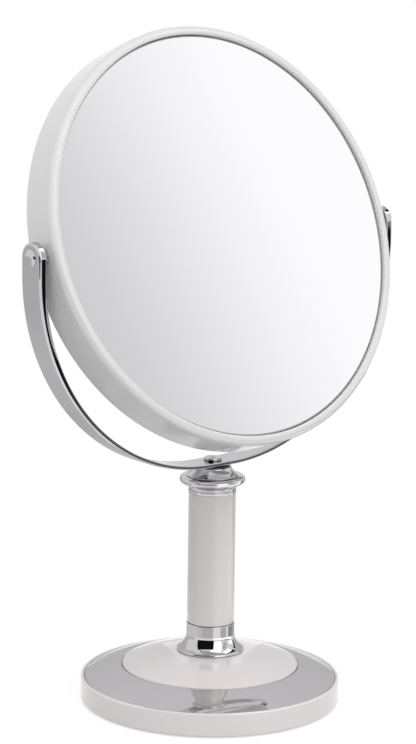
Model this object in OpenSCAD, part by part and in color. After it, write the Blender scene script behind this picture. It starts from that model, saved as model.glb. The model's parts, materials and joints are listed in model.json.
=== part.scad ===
// Round two-sided mirror on a telescopic pedestal, in millimetres.
// +Z is up, the column stands on the Z axis and the foot ring rests on Z = 0.
// The tilt axis runs along X, and the flat front glass faces -Y.

/* [Mirror head] */
// Diameter of the two looking glasses
glass_d = 200; // [160:1:250]
// Thickness of the flat front glass
glass_t = 3; // [2:0.5:5]
// Thickness of the curved rear glass
rear_glass_t = 2; // [1.5:0.5:4]
// Radius of curvature of the magnifying rear glass
rear_curve_r = 1200; // [900:50:3000]
// Depth of the front glass behind the front edge of the frame
glass_recess = 2.4; // [1:0.1:5]
// Width of the frame from the glass to its outer surface
lip_w = 4.7; // [4:0.1:8]
// Thickness of the frame's outer wall
frame_wall = 2.5; // [1.5:0.1:3.5]
// Thickness of the two inner flanges that the glasses lie on
flange_t = 2; // [1.5:0.1:3]
// Reach of the flanges from the frame's outer surface
flange_w = 9.4; // [7.5:0.1:14]
// Thickness of the tape under the front glass
tape_t = 0.4; // [0.2:0.1:1]
// Thickness of the foam gasket under the rear glass
gasket_t = 1.2; // [0.8:0.1:2.5]
// Thickness of the backing board behind the front glass
board_t = 1.5; // [1:0.1:2.5]
// Thickness of the rear bezel's lip
bezel_lip_t = 2; // [1.5:0.1:3]
// Reach of the rear bezel's lip over the rear glass
bezel_cover = 3.2; // [2:0.1:6]
// Rounding of the frame's front outer edge
front_round = 3.2; // [1:0.1:4]
// Backward lean of the head as stored, in degrees
rest_tilt = 20; // [0:1:45]

/* [Pivot] */
// Diameter of the pivot pins
pin_d = 5; // [4:0.1:6]
// Wall of the pivot bushes in the frame
bush_wall = 1.4; // [1:0.1:2]
// Wall of the plastic boss around each pivot bush
boss_wall = 1.2; // [1:0.1:2]
// Diameter of the pin heads
pin_head_d = 8.4; // [7:0.1:11]
// Height of the domed pin heads
pin_head_h = 1.3; // [0.8:0.1:2]
// Gap between the frame and each yoke arm
pivot_gap = 3.2; // [2.4:0.1:6]
// Thickness of the friction washers
friction_washer_t = 0.6; // [0.4:0.1:1]

/* [Yoke] */
// Width of the yoke band
yoke_w = 14.6; // [12:0.1:20]
// Thickness of the yoke at its arms
arm_t = 4.2; // [3:0.1:6]
// Thickness of the yoke at its seat
seat_t = 2; // [1.5:0.1:3]
// Half length of the flat seat under the yoke
seat_half = 7.3; // [5:0.1:12]
// Straight drop of each arm below the tilt axis
arm_drop = 8.7; // [6:0.1:20]

/* [Column] */
// Outside diameter of the white sleeve
sleeve_d = 23.7; // [19:0.1:32]
// Height of the white sleeve
sleeve_h = 67.1; // [50:0.1:110]
// Wall of the white sleeve
sleeve_wall = 1.6; // [1:0.1:2]
// Wall of the spigots that centre the sleeve
spigot_wall = 2; // [1.5:0.1:2.5]
// Length of the spigots that centre the sleeve
spigot_h = 2.8; // [2:0.1:6]
// Wall of the core tube
core_wall = 1.2; // [0.8:0.1:1.5]
// Wall of the guide bush
guide_wall = 1.25; // [1:0.05:1.5]
// Length of the guide bush
guide_h = 16; // [10:1:20]
// Wall of the inner tube
tube_wall = 1; // [0.8:0.1:1.2]
// Height of the slide ring at the foot of the inner tube
slide_ring_h = 6; // [4:0.5:8]
// Height of the threaded plug in the foot of the core tube
core_plug_h = 19.9; // [10:0.1:24]
// Height of the threaded plug in the top of the inner tube
tube_plug_h = 14; // [12:0.5:18]

/* [Collars] */
// Height of the lower collar
collar_h = 14.6; // [12:0.1:24]
// Straight height at the top of the lower collar
collar_straight_h = 5.4; // [3:0.1:9]
// Reach of the lower collar's foot beyond the sleeve
collar_reach = 5; // [3:0.1:8]
// Height of the bead at the collar's foot
collar_bead_h = 1.6; // [1.2:0.1:3]
// Height of the guide cup above the sleeve
cup_h = 8.2; // [7.5:0.1:12]
// Reach of the cup's bead beyond the sleeve
cup_reach = 4.6; // [4:0.1:7]
// Radius of the cup's bead
cup_bead_r = 2; // [1.2:0.1:2.2]
// Height of the head cone
cone_h = 4.6; // [4:0.1:8]
// Wall of the head cone's top around the inner tube
cone_wall = 3.75; // [3:0.05:5]

/* [Fasteners] */
// Diameter of the yoke screw's thread
screw_d = 4; // [3:0.5:4]
// Diameter of the yoke screw's shoulder
shoulder_d = 6.3; // [5.5:0.1:8]
// Diameter of the yoke screw's head
screw_head_d = 8.4; // [8:0.1:12]
// Height of the yoke screw's head
screw_head_h = 1; // [1:0.1:2]
// Width across the yoke screw's hexagon socket
screw_socket_w = 3; // [2:0.5:4]
// Thickness of the washer under the yoke screw's head
yoke_washer_t = 0.4; // [0.3:0.1:0.8]
// Diameter of the stem bolt's thread
bolt_d = 6; // [5:0.5:8]
// Width across the stem bolt's head
bolt_head_w = 10; // [9:0.5:13]
// Height of the stem bolt's head
bolt_head_h = 4; // [3:0.5:5]
// Outside diameter of the stem bolt's washer
bolt_washer_d = 20; // [16:1:24]
// Thickness of the stem bolt's washer
bolt_washer_t = 1.2; // [0.8:0.1:2]

/* [Base] */
// Diameter of the base
base_d = 130.2; // [110:1:170]
// Height of the rim's crest above the table
rim_z = 12.6; // [11:0.1:16]
// Width of the white rim outside the chrome ring
rim_w = 1.8; // [1.4:0.1:4]
// Thickness of the shell's skin
skin_t = 2.2; // [1.6:0.1:2.6]
// Rise of the chrome ring from its outer to its inner edge
ring_rise = 6.2; // [4:0.1:9]
// Thickness of the chrome ring
ring_t = 1; // [0.6:0.1:1.5]
// Crown of the chrome ring's face above the line between its edges
ring_crown = 0.7; // [0.2:0.1:1.2]
// Drop of the chrome ring's outer edge below the rim's crest
ring_drop = 0.3; // [0.1:0.1:1]
// Diameter of the domed white inlay
inlay_d = 88.4; // [70:0.1:92]
// Width of the groove around the inlay
groove_w = 0.5; // [0.3:0.1:1]
// Thickness of the inlay's domed skin
inlay_t = 2.4; // [2:0.1:3]
// Height of the inlay's edge above its ledge
inlay_edge_h = 2.5; // [2:0.1:4]
// Rise of the dome from its edge to the collar's seat
dome_rise = 6.7; // [5:0.1:9]
// Rounding of the inlay's edge
inlay_round = 0.7; // [0.3:0.1:1]
// Wall of the shell's hub around the core tube
hub_wall = 3.95; // [3:0.05:5]
// Height of the foot ring below the shell
foot_h = 0.8; // [0.5:0.1:2]
// Depth of the foot ring in its groove
foot_inset = 0.8; // [0.5:0.1:1.2]
// Width of the foot ring
foot_w = 10; // [6:0.5:12]
// Thickness of the bottom cover
cover_t = 2; // [1.8:0.1:3]
// Thickness of the cast weight
weight_t = 8; // [6:0.1:8.5]
// Radius of the hole in the weight
weight_hole_r = 13; // [12.5:0.1:16]
// Number of screws in the bottom cover
cover_screws_n = 3; // [3:1:6]
// Radius of the circle of cover screws
cover_screw_pcr = 30; // [20:1:34]
// Thread diameter of the cover screws
cover_screw_d = 3; // [2.5:0.5:4]
// Length of the cover screws
cover_screw_h = 7; // [5:0.5:9]

/* [Hidden] */

// Facets of ordinary round shapes, of the yoke's arcs, the dome and ring, the curved glass
$fn = 120;
yoke_fn = 360;
dome_fn = 1440;
glass_fn = 2880;

// Clearances
run_gap = 0.3;    // between faces that move past each other
bore_gap = 0.05;  // radial, between a shaft and the bore it runs in
seat_gap = 0.02;  // radial, between a piece and the seat it is pressed into
loose_gap = 0.2;  // radial, between pieces that are only dropped together
stop_gap = 1;     // left at each end of the slide's travel
weight_gap = 0.5; // between the weight's top and the shell above it
cut = 1;          // overrun of every cut

// Small details of the base
edge_r = 1;          // rounding of the shell's lower edge
foot_margin = 3;     // from the cover's edge to the foot ring
inlay_stand = 0.4;   // of the inlay's edge above the chrome ring
seat_margin = 0.5;   // of the inlay's flat seat beyond the collar
head_share = 2;      // of a cover screw's thread, across its countersunk head
recess_share = 0.9;  // of a cover screw's thread, the length of its cross recess
slot_share = 0.2;    // of a cover screw's thread, the width of its cross recess

// Small details of the column
turned_round = 0.3;  // rounding of edges on turned pieces
collar_skirt = 0.25; // of the collar's straight part beyond the sleeve
collar_inset = 0.7;  // of the collar's flare behind its bead
sleeve_float = 0.2;  // between the sleeve's foot and the collar
cup_skirt = 0.15;    // of the cup's neck ring beyond the sleeve
cup_ring_h = 1.6;    // height of the cup's neck ring
cup_ring_round = 0.4; // rounding of the neck ring's upper edge
cup_groove_h = 0.5;  // height and depth of the groove above the neck ring
cup_flare_r = 3;     // radius of the cup's hollow flare
cup_bead_flat = 0.3; // height that the cup's top takes off its bead
cup_bead_root = 0.1; // height by which the flare runs into the bead
cone_inset = 3.4;    // of the cone's foot inside the cup's bead
cone_foot_t = 0.4;   // thickness of the cone's foot
cone_flare_r = 9;    // radius of the cone's hollow flare
flare_min = 0.55;    // least radius of a hollow flare, of the distance that it spans
cone_land_h = 0.2;   // height of the upright edge at the cone's top
cone_web_t = 1.8;    // thickness of the web under the cone's top
swivel_washer_t = 0.6;
washer_inset = 1;    // of the swivel washer inside the cone's top
bolt_share = 0.6;    // of the core plug's height that the stem bolt fills
bore_share = 0.75;   // of the core plug's height that is drilled for it
screw_share = 0.8;   // of the tube plug's height that the yoke screw fills
washer_margin = 0.4; // of the yoke washer beyond the screw's head
screw_round = 0.7;   // rounding of the yoke screw's head
socket_depth = 0.7;  // of the hexagon socket in the yoke screw

// Small details of the head
lip_round = 1;       // rounding of the lip's inner front edge
lip_land = 0.5;      // least flat width left on the lip
rear_land = 0.3;     // flat width left on the frame's rear edge
bezel_skirt_w = 3;   // from the frame's bore to the rear glass
bezel_round = 1.2;   // rounding of the bezel's inner edge
gasket_play = 0.1;   // between the gasket and the rear glass's edge
pin_past = 0.5;      // from the flange's edge to the pin's tip
bush_inset = 0.1;    // of the bush's outer end behind the frame's surface
spacer_margin = 0.2; // of the pivot spacer beyond the pin's head

// Base, from the table upwards
base_r = base_d / 2;
inlay_r = inlay_d / 2;
cover_top_z = foot_h + cover_t;
cover_r = base_r - skin_t - loose_gap;
foot_out_r = cover_r - foot_margin;
foot_in_r = foot_out_r - foot_w;
ring_out_r = base_r - rim_w;
ring_in_r = inlay_r + groove_w;
ring_out_z = rim_z - ring_drop;
ring_in_z = ring_out_z + ring_rise;
inlay_edge_z = ring_in_z + inlay_stand;
plate_z = inlay_edge_z - inlay_edge_h;
plate_under_z = plate_z - skin_t;
seat_z = inlay_edge_z + dome_rise;

// The weight ends where the shell's sloping underside comes down to its top
under_in_r = ring_in_r - skin_t;
under_out_r = base_r - skin_t;
under_out_z = ring_out_z - ring_t - skin_t;
under_slope = (plate_under_z - under_out_z) / (under_out_r - under_in_r);
weight_top_z = cover_top_z + weight_t;
weight_r = under_in_r + (plate_under_z - weight_top_z - weight_gap) / under_slope;

// Column radii, from the outside inwards
sleeve_r = sleeve_d / 2;
sleeve_in_r = sleeve_r - sleeve_wall;
spigot_r = sleeve_in_r - loose_gap;
core_r = spigot_r - spigot_wall;
core_in_r = core_r - core_wall;
hub_r = core_r + hub_wall;
guide_in_r = core_in_r - guide_wall;
tube_r = guide_in_r - bore_gap;
tube_in_r = tube_r - tube_wall;
cone_top_r = tube_r + cone_wall;

// Collar and cup radii
collar_r = sleeve_r + collar_skirt;
collar_foot_r = sleeve_r + collar_reach;
collar_seat_r = collar_foot_r + seat_margin;
cup_r = sleeve_r + cup_reach;
cup_neck_r = sleeve_r + cup_skirt;

// The dome passes through the inlay's edge and the rim of the collar's flat seat
dome_centre_z = (pow(inlay_r, 2) + pow(inlay_edge_z, 2) - pow(collar_seat_r, 2) - pow(seat_z, 2))
                / (2 * (inlay_edge_z - seat_z));
dome_r = sqrt(pow(inlay_r, 2) + pow(inlay_edge_z - dome_centre_z, 2));
hub_top_z = dome_centre_z + sqrt(pow(dome_r - inlay_t, 2) - pow(hub_r, 2)) - bore_gap;

// Column heights
collar_top_z = seat_z + collar_h;
sleeve_z = collar_top_z + sleeve_float;
cup_z = sleeve_z + sleeve_h;
cup_top_z = cup_z + cup_h;
core_top_z = cup_z + spigot_h;
cone_z = cup_top_z + run_gap;
cone_top_z = cone_z + cone_h;
yoke_bottom_z = cone_top_z + swivel_washer_t + run_gap;

// Slide: what the stem's length leaves between the core plug and the guide bush
guide_z = core_top_z - guide_h;
tube_z = plate_z + core_plug_h + stop_gap;
slide_travel = guide_z - tube_z - slide_ring_h - stop_gap;

// Head, measured along its own axis from the tilt axis, front positive
pin_r = pin_d / 2;
bush_in_r = pin_r + bore_gap;
bush_r = bush_in_r + bush_wall;
boss_r = bush_r + boss_wall;
glass_r = glass_d / 2;
frame_r = glass_r + loose_gap + lip_w;
frame_in_r = frame_r - frame_wall;
flange_r = frame_r - flange_w;
front_seat_w = boss_r;
front_back_w = front_seat_w + tape_t;
front_face_w = front_back_w + glass_t;
front_edge_w = front_face_w + glass_recess;
rear_glass_r = frame_in_r - bezel_skirt_w;
rear_seat_w = boss_r;
rear_inner_w = rear_seat_w + gasket_t
               + (pow(rear_glass_r, 2) - pow(flange_r, 2)) / (2 * rear_curve_r);
rear_outer_w = rear_inner_w + rear_glass_t;
rear_edge_w = rear_outer_w + loose_gap + bezel_lip_t;
rear_curve_w = -rear_outer_w - sqrt(pow(rear_curve_r, 2) - pow(rear_glass_r, 2));
bezel_r = frame_in_r - loose_gap;
bezel_skirt_r = rear_glass_r + loose_gap;
lip_r = glass_r + loose_gap;
front_round_r = min(front_round, lip_w - lip_round - lip_land);

// Yoke
half_span = frame_r + pivot_gap + arm_t;
arm_in_x = half_span - arm_t;
arc_r = half_span - seat_half;
arc_in_r = arc_r - arm_t;
arc_z = yoke_bottom_z + arc_r;
arc_in_z = yoke_bottom_z + seat_t + arc_in_r;
pivot_z = arc_z + arm_drop;
yoke_top_z = yoke_bottom_z + seat_t;
screw_z = yoke_top_z + run_gap + yoke_washer_t;
shoulder_r = shoulder_d / 2;
screw_r = screw_d / 2;
bolt_r = bolt_d / 2;
pin_tip_x = flange_r + pin_past;
spacer_x = frame_r + run_gap;

white = [0.93, 0.92, 0.92];
chrome = [0.76, 0.77, 0.79];
steel = [0.6, 0.61, 0.62];
nylon = [0.9, 0.9, 0.86];

// ---- Shared shapes ----

// Turns a profile of (radius, height) about the Z axis
module lathe() {
    rotate_extrude() children();
}

// Upright rectangle from radius a to b and height c to d
module box2d(a, b, c, d) {
    translate([a, c]) square([b - a, d - c]);
}

// Tube between two radii, from height z0 to z1
module tube(r_out, r_in, z0, z1) {
    difference() {
        translate([0, 0, z0]) cylinder(r = r_out, h = z1 - z0);
        translate([0, 0, z0 - cut]) cylinder(r = r_in, h = z1 - z0 + 2 * cut);
    }
}

// What a quarter-round of radius c takes off the corner at [x, y];
// sx and sy point from the corner into the material
module corner(x, y, sx, sy, c) {
    difference() {
        translate([x, y]) scale([sx, sy]) translate([-cut, -cut]) square(c + cut);
        translate([x + sx * c, y + sy * c]) circle(r = c);
    }
}

// Disc of radius r whose edge passes through two points and whose centre lies on
// the side away from the axis: taken off a profile, it leaves a hollow flare
module hollow(p, q, r) {
    d = q - p;
    len = norm(d);
    n = [d[1], -d[0]] / len;
    side = n[0] < 0 ? -1 : 1;
    used_r = max(r, flare_min * len);
    centre = (p + q) / 2 + side * n * sqrt(used_r * used_r - len * len / 4);
    translate(centre) circle(r = used_r);
}

// Disc whose edge passes through two points and rises by h to the right of the line p-q
module crown(p, q, h) {
    d = q - p;
    len = norm(d);
    n = [d[1], -d[0]] / len;
    r = (len * len / 4 + h * h) / (2 * h);
    translate((p + q) / 2 - n * (r - h)) circle(r = r, $fn = dome_fn);
}

// Places children of the head: its axis becomes the front glass's normal
module in_head() {
    translate([0, 0, pivot_z]) rotate([90 - rest_tilt, 0, 0]) children();
}

// Places children along the tilt axis: their +Z points to side * X
module on_pivot(side) {
    translate([0, 0, pivot_z]) rotate([0, side * 90, 0]) children();
}

// Repeats children around the circle of cover screws
module at_cover_screws() {
    for (i = [0 : cover_screws_n - 1])
        rotate([0, 0, 90 + i * 360 / cover_screws_n]) translate([cover_screw_pcr, 0, 0]) children();
}

// ---- Base ----

module foot_ring() {
    color([0.25, 0.25, 0.26])
    tube(foot_out_r, foot_in_r, 0, foot_h + foot_inset);
}

module bottom_cover() {
    color([0.9, 0.9, 0.9])
    difference() {
        translate([0, 0, foot_h]) cylinder(r = cover_r, h = cover_t);
        tube(foot_out_r + loose_gap, foot_in_r - loose_gap, foot_h - cut, foot_h + foot_inset);
        at_cover_screws() cover_screw_shape(loose_gap);
    }
}

// Countersunk screw, head down and flush with the cover, grown by g all round
module cover_screw_shape(g) {
    r = cover_screw_d / 2 + g;
    translate([0, 0, foot_h - cut]) cylinder(r = r, h = cover_screw_h + cut);
    translate([0, 0, foot_h]) cylinder(r1 = head_share * r, r2 = r, h = (head_share - 1) * r);
    if (g > seat_gap)
        translate([0, 0, foot_h - cut]) cylinder(r = head_share * r, h = cut);
}

module cover_screws() {
    color(steel)
    at_cover_screws() difference() {
        cover_screw_shape(0);
        translate([0, 0, foot_h - 2 * cut]) cylinder(r = cover_screw_d, h = 2 * cut);
        for (a = [0, 90])
            rotate([0, 0, a]) translate([0, 0, foot_h])
                cube([recess_share * cover_screw_d, slot_share * cover_screw_d,
                      cover_screw_d / 2], center = true);
    }
}

module base_weight() {
    color([0.3, 0.3, 0.31])
    difference() {
        tube(weight_r, weight_hole_r, cover_top_z, weight_top_z);
        at_cover_screws() translate([0, 0, foot_h])
            cylinder(r = cover_screw_d / 2 + seat_gap, h = cover_screw_h + stop_gap);
    }
}

module base_shell() {
    crest_r = rim_w / 2;
    seat_out_z = ring_out_z - ring_t;
    seat_in_z = ring_in_z - ring_t;
    color(white)
    lathe() difference() {
        union() {
            polygon([
                [base_r, foot_h], [base_r, rim_z - crest_r],
                [ring_out_r + loose_gap / 2, rim_z - crest_r],
                [ring_out_r + loose_gap / 2, seat_out_z], [ring_out_r, seat_out_z],
                [ring_in_r, seat_in_z], [inlay_r + loose_gap, seat_in_z],
                [inlay_r + loose_gap, plate_z], [hub_r, plate_z],
                [hub_r, hub_top_z], [core_r + seat_gap, hub_top_z],
                [core_r + seat_gap, plate_z], [bolt_r + loose_gap, plate_z],
                [bolt_r + loose_gap, plate_under_z], [under_in_r, plate_under_z],
                [under_out_r, under_out_z], [under_out_r, foot_h]
            ]);
            translate([base_r - crest_r, rim_z - crest_r]) circle(r = crest_r);
        }
        corner(base_r, foot_h, -1, 1, edge_r);
    }
}

module base_chrome_ring() {
    out = [ring_out_r, ring_out_z];
    in = [ring_in_r, ring_in_z];
    under = [0, ring_t];
    over = [0, ring_t + ring_crown];
    color(chrome)
    lathe() intersection() {
        crown(out, in, ring_crown);
        polygon([out + over, out - under, in - under, in + over]);
    }
}

module base_inlay() {
    round_r = inlay_r - inlay_round;
    round_z = dome_centre_z + sqrt(pow(dome_r - inlay_round, 2) - pow(round_r, 2));
    color([0.92, 0.9, 0.91])
    lathe() difference() {
        union() {
            difference() {
                intersection() {
                    translate([0, dome_centre_z]) circle(r = dome_r, $fn = dome_fn);
                    box2d(0, inlay_r, plate_z, seat_z);
                }
                box2d(round_r, inlay_r + cut, round_z, seat_z);
            }
            translate([round_r, round_z]) circle(r = inlay_round);
        }
        intersection() {
            translate([0, dome_centre_z]) circle(r = dome_r - inlay_t, $fn = dome_fn);
            box2d(0, inlay_r - inlay_t, plate_z - cut, seat_z);
        }
        box2d(-cut, core_r + loose_gap, plate_z - cut, seat_z + cut);
    }
}

// ---- Fixed part of the column ----

module stem_bolt() {
    head_z = plate_under_z - bolt_washer_t - bolt_head_h;
    thread_top_z = plate_z + bolt_share * core_plug_h;
    color(steel) {
        translate([0, 0, head_z])
            cylinder(d = bolt_head_w / cos(30), h = bolt_head_h, $fn = 6);
        translate([0, 0, head_z + bolt_head_h / 2])
            cylinder(r = bolt_r, h = thread_top_z - head_z - bolt_head_h / 2);
    }
}

module stem_bolt_washer() {
    color(steel)
    tube(bolt_washer_d / 2, bolt_r + loose_gap, plate_under_z - bolt_washer_t, plate_under_z);
}

module lower_collar() {
    bead_r = collar_bead_h / 2;
    flare_z = seat_z + collar_bead_h;
    flare_r = collar_foot_r - collar_inset;
    straight_z = collar_top_z - collar_straight_h;
    flare_w = flare_r - collar_r;
    flare_h = straight_z - flare_z;
    color(chrome)
    lathe() difference() {
        union() {
            box2d(0, collar_foot_r - bead_r, seat_z, flare_z);
            translate([collar_foot_r - bead_r, seat_z + bead_r]) circle(r = bead_r);
            difference() {
                box2d(0, flare_r, flare_z - bead_r, straight_z);
                hollow([flare_r, flare_z], [collar_r, straight_z],
                       (pow(flare_w, 2) + pow(flare_h, 2)) / (2 * flare_w));
            }
            box2d(0, collar_r, straight_z - cut, collar_top_z);
            box2d(0, spigot_r, collar_top_z - cut, sleeve_z + spigot_h);
        }
        corner(collar_r, collar_top_z, -1, -1, turned_round);
        box2d(-cut, core_r + seat_gap, seat_z - cut, sleeve_z + spigot_h + cut);
    }
}

module core_tube() {
    color(steel)
    tube(core_r, core_in_r, plate_z, core_top_z);
}

module core_plug() {
    color(steel)
    difference() {
        translate([0, 0, plate_z]) cylinder(r = core_in_r - seat_gap, h = core_plug_h);
        translate([0, 0, plate_z - cut])
            cylinder(r = bolt_r + seat_gap, h = bore_share * core_plug_h + cut);
    }
}

module stem_sleeve() {
    color(white)
    tube(sleeve_r, sleeve_in_r, sleeve_z, cup_z);
}

module guide_bush() {
    color(nylon)
    tube(core_in_r - seat_gap, guide_in_r, guide_z, core_top_z);
}

module guide_cup() {
    bead_z = cup_top_z - cup_bead_r + cup_bead_flat;
    ring_z = cup_z + cup_ring_h;
    neck_z = ring_z + cup_groove_h;
    flare_r = cup_r - cup_bead_r;
    flare_z = bead_z - cup_bead_r + cup_bead_root;
    color(chrome)
    lathe() difference() {
        union() {
            box2d(0, spigot_r, cup_z - spigot_h, cup_z + cut);
            box2d(0, cup_neck_r, cup_z, ring_z);
            box2d(0, cup_neck_r - cup_groove_h, cup_z, neck_z);
            difference() {
                box2d(0, flare_r, neck_z, flare_z);
                hollow([cup_neck_r, neck_z], [flare_r, flare_z], cup_flare_r);
            }
            box2d(0, flare_r, flare_z, cup_top_z);
            translate([flare_r, bead_z]) circle(r = cup_bead_r);
        }
        corner(cup_neck_r, cup_z, -1, 1, turned_round);
        corner(cup_neck_r, ring_z, -1, -1, cup_ring_round);
        box2d(-cut, core_r + seat_gap, cup_z - spigot_h - cut, core_top_z + seat_gap);
        box2d(-cut, tube_r + run_gap, core_top_z, cup_top_z + cut);
        box2d(0, cup_r + cut, cup_top_z, cup_top_z + cut);
    }
}

// ---- Sliding part of the column ----

module inner_tube() {
    color(chrome)
    tube(tube_r, tube_in_r, tube_z, cone_top_z - cone_web_t);
}

module slide_ring() {
    color(nylon)
    tube(core_in_r - bore_gap, tube_r + seat_gap, tube_z, tube_z + slide_ring_h);
}

module tube_plug() {
    top_z = cone_top_z - cone_web_t;
    color(steel)
    tube(tube_in_r - seat_gap, screw_r + seat_gap, top_z - tube_plug_h, top_z);
}

module head_cone() {
    foot_r = cup_r - cone_inset;
    foot_z = cone_z + cone_foot_t;
    color(chrome)
    lathe() difference() {
        union() {
            box2d(0, foot_r, cone_z, foot_z);
            difference() {
                box2d(0, foot_r, cone_z, cone_top_z);
                hollow([foot_r, foot_z], [cone_top_r, cone_top_z], cone_flare_r);
                box2d(cone_top_r, foot_r + cut, cone_top_z - cone_land_h, cone_top_z + cut);
            }
        }
        corner(foot_r, foot_z, -1, -1, turned_round);
        box2d(-cut, tube_r + seat_gap, cone_z - cut, cone_top_z - cone_web_t);
        box2d(-cut, screw_r + loose_gap, cone_z, cone_top_z + cut);
    }
}

module swivel_washer() {
    color(nylon)
    tube(cone_top_r - washer_inset, screw_r + loose_gap,
         cone_top_z, cone_top_z + swivel_washer_t);
}

module yoke_washer() {
    color(chrome)
    tube(screw_head_d / 2 + washer_margin, shoulder_r + bore_gap,
         screw_z - yoke_washer_t, screw_z);
}

module yoke_screw() {
    shoulder_z = cone_top_z + swivel_washer_t;
    tip_z = cone_top_z - cone_web_t - screw_share * tube_plug_h;
    color(chrome)
    difference() {
        union() {
            translate([0, 0, screw_z]) lathe() difference() {
                box2d(0, screw_head_d / 2, 0, screw_head_h);
                corner(screw_head_d / 2, screw_head_h, -1, -1, screw_round);
            }
            translate([0, 0, shoulder_z])
                cylinder(r = shoulder_r, h = screw_z - shoulder_z + cut / 2);
            translate([0, 0, tip_z]) cylinder(r = screw_r, h = shoulder_z - tip_z + cut);
        }
        translate([0, 0, screw_z + screw_head_h - socket_depth])
            cylinder(d = screw_socket_w / cos(30), h = socket_depth + cut, $fn = 6);
    }
}

// ---- Yoke ----

// U of the yoke in the X-Z plane: two arcs of radius r about [+-seat_half, z],
// arms up past the tilt axis and a flat seat between the arcs
module u_shape(r, z) {
    for (s = [-1, 1])
        translate([s * seat_half, z]) circle(r = r, $fn = yoke_fn);
    box2d(-seat_half, seat_half, z - r, z);
    box2d(-seat_half - r, seat_half + r, z, pivot_z + yoke_w);
}

module yoke() {
    color(chrome)
    difference() {
        intersection() {
            rotate([90, 0, 0]) linear_extrude(height = yoke_w, center = true) difference() {
                u_shape(arc_r, arc_z);
                u_shape(arc_in_r, arc_in_z);
            }
            union() {
                translate([-half_span - cut, 0, pivot_z]) rotate([0, 90, 0])
                    cylinder(d = yoke_w, h = 2 * (half_span + cut));
                translate([-half_span - cut, -yoke_w / 2, yoke_bottom_z - cut])
                    cube([2 * (half_span + cut), yoke_w, pivot_z - yoke_bottom_z + cut]);
            }
        }
        for (s = [-1, 1])
            on_pivot(s) translate([0, 0, arm_in_x - cut])
                cylinder(r = pin_r + seat_gap, h = arm_t + 2 * cut);
        translate([0, 0, yoke_bottom_z - cut])
            cylinder(r = shoulder_r + bore_gap, h = seat_t + 2 * cut);
    }
}

module pivot_pin(side) {
    dome_r = (pow(pin_head_d / 2, 2) + pow(pin_head_h, 2)) / (2 * pin_head_h);
    color(chrome)
    on_pivot(side) union() {
        translate([0, 0, pin_tip_x])
            cylinder(r = pin_r, h = half_span - pin_tip_x + pin_head_h / 2);
        lathe() intersection() {
            translate([0, half_span + pin_head_h - dome_r]) circle(r = dome_r);
            box2d(0, pin_head_d / 2, half_span, half_span + pin_head_h + cut);
        }
    }
}

module friction_washer(side) {
    color(nylon)
    on_pivot(side) tube(pin_head_d / 2, pin_r + seat_gap, arm_in_x - friction_washer_t, arm_in_x);
}

module pivot_spacer(side) {
    color(chrome)
    on_pivot(side)
        tube(pin_head_d / 2 + spacer_margin, pin_r + seat_gap,
             spacer_x, arm_in_x - friction_washer_t);
}

// ---- Mirror head ----

module head_frame() {
    color(white)
    in_head() difference() {
        union() {
            lathe() {
                difference() {
                    union() {
                        box2d(frame_in_r, frame_r, -rear_edge_w, front_edge_w);
                        box2d(lip_r, frame_r, front_seat_w - flange_t, front_edge_w);
                    }
                    corner(frame_r, front_edge_w, -1, -1, front_round_r);
                    corner(lip_r, front_edge_w, 1, -1, lip_round);
                    corner(frame_r, -rear_edge_w, -1, 1, frame_wall - rear_land);
                }
                box2d(flange_r, frame_in_r + cut, front_seat_w - flange_t, front_seat_w);
                box2d(flange_r, frame_in_r + cut, -rear_seat_w, -rear_seat_w + flange_t);
            }
            for (s = [-1, 1]) intersection() {
                rotate([0, s * 90, 0]) translate([0, 0, flange_r]) cylinder(r = boss_r, h = flange_w);
                cylinder(r = frame_in_r + cut, h = 2 * boss_r, center = true);
            }
        }
        for (s = [-1, 1])
            rotate([0, s * 90, 0]) translate([0, 0, flange_r - cut])
                cylinder(r = bush_r + seat_gap, h = flange_w + 2 * cut);
    }
}

module rear_bezel() {
    color(white)
    in_head() lathe() difference() {
        union() {
            box2d(rear_glass_r - bezel_cover, bezel_r, -rear_edge_w, -rear_edge_w + bezel_lip_t);
            box2d(bezel_skirt_r, bezel_r, -rear_edge_w, -rear_seat_w);
        }
        corner(rear_glass_r - bezel_cover, -rear_edge_w, 1, 1, bezel_round);
    }
}

module front_glass() {
    color([0.82, 0.84, 0.87])
    in_head() translate([0, 0, front_back_w]) cylinder(r = glass_r, h = glass_t);
}

module front_tape() {
    color([0.2, 0.2, 0.2])
    in_head() tube(glass_r - loose_gap, flange_r + loose_gap, front_seat_w, front_back_w);
}

module backing_board() {
    color([0.5, 0.42, 0.33])
    in_head() translate([0, 0, front_back_w - board_t])
        cylinder(r = flange_r - loose_gap, h = board_t);
}

module rear_glass() {
    color([0.8, 0.83, 0.86])
    in_head() lathe() intersection() {
        translate([0, rear_curve_w]) difference() {
            circle(r = rear_curve_r + rear_glass_t, $fn = glass_fn);
            circle(r = rear_curve_r, $fn = glass_fn);
        }
        box2d(0, rear_glass_r, -rear_edge_w, 0);
    }
}

module rear_gasket() {
    color([0.2, 0.2, 0.2])
    in_head() tube(rear_glass_r - loose_gap, flange_r + loose_gap,
                   -rear_seat_w - gasket_t + gasket_play, -rear_seat_w);
}

module pivot_bush(side) {
    color([0.75, 0.62, 0.35])
    on_pivot(side) tube(bush_r, bush_in_r, flange_r, frame_r - bush_inset);
}

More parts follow.
